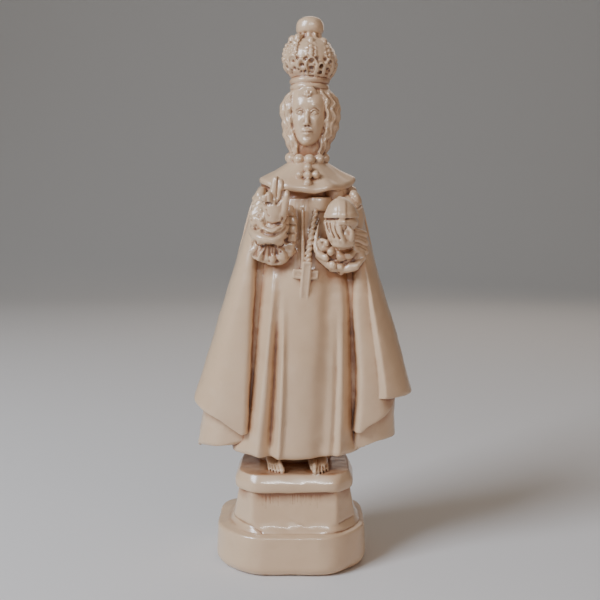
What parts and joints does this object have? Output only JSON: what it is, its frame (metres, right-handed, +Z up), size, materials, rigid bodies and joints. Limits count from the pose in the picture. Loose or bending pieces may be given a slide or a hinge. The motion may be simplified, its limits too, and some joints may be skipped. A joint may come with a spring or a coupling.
{
  "type": "infant of prague statue",
  "caption": "Glazed ceramic statue of a crowned child in a long gown and cape, one hand raised in blessing and the other holding a globe, standing on a stepped plinth.",
  "frame": {"origin": "centre of the plinth's flat underside, on the surface that the statue stands on", "axes": "+Z up, +Y away from the viewer who faces the statue, +X to that viewer's right"},
  "size_m": [0.1249, 0.0734, 0.3042],
  "materials": {
    "glaze": "glossy ivory glaze with a brown wash in the recesses"
  },
  "bodies": {
    "root": {"statue": "glaze"}
  },
  "joints": []
}
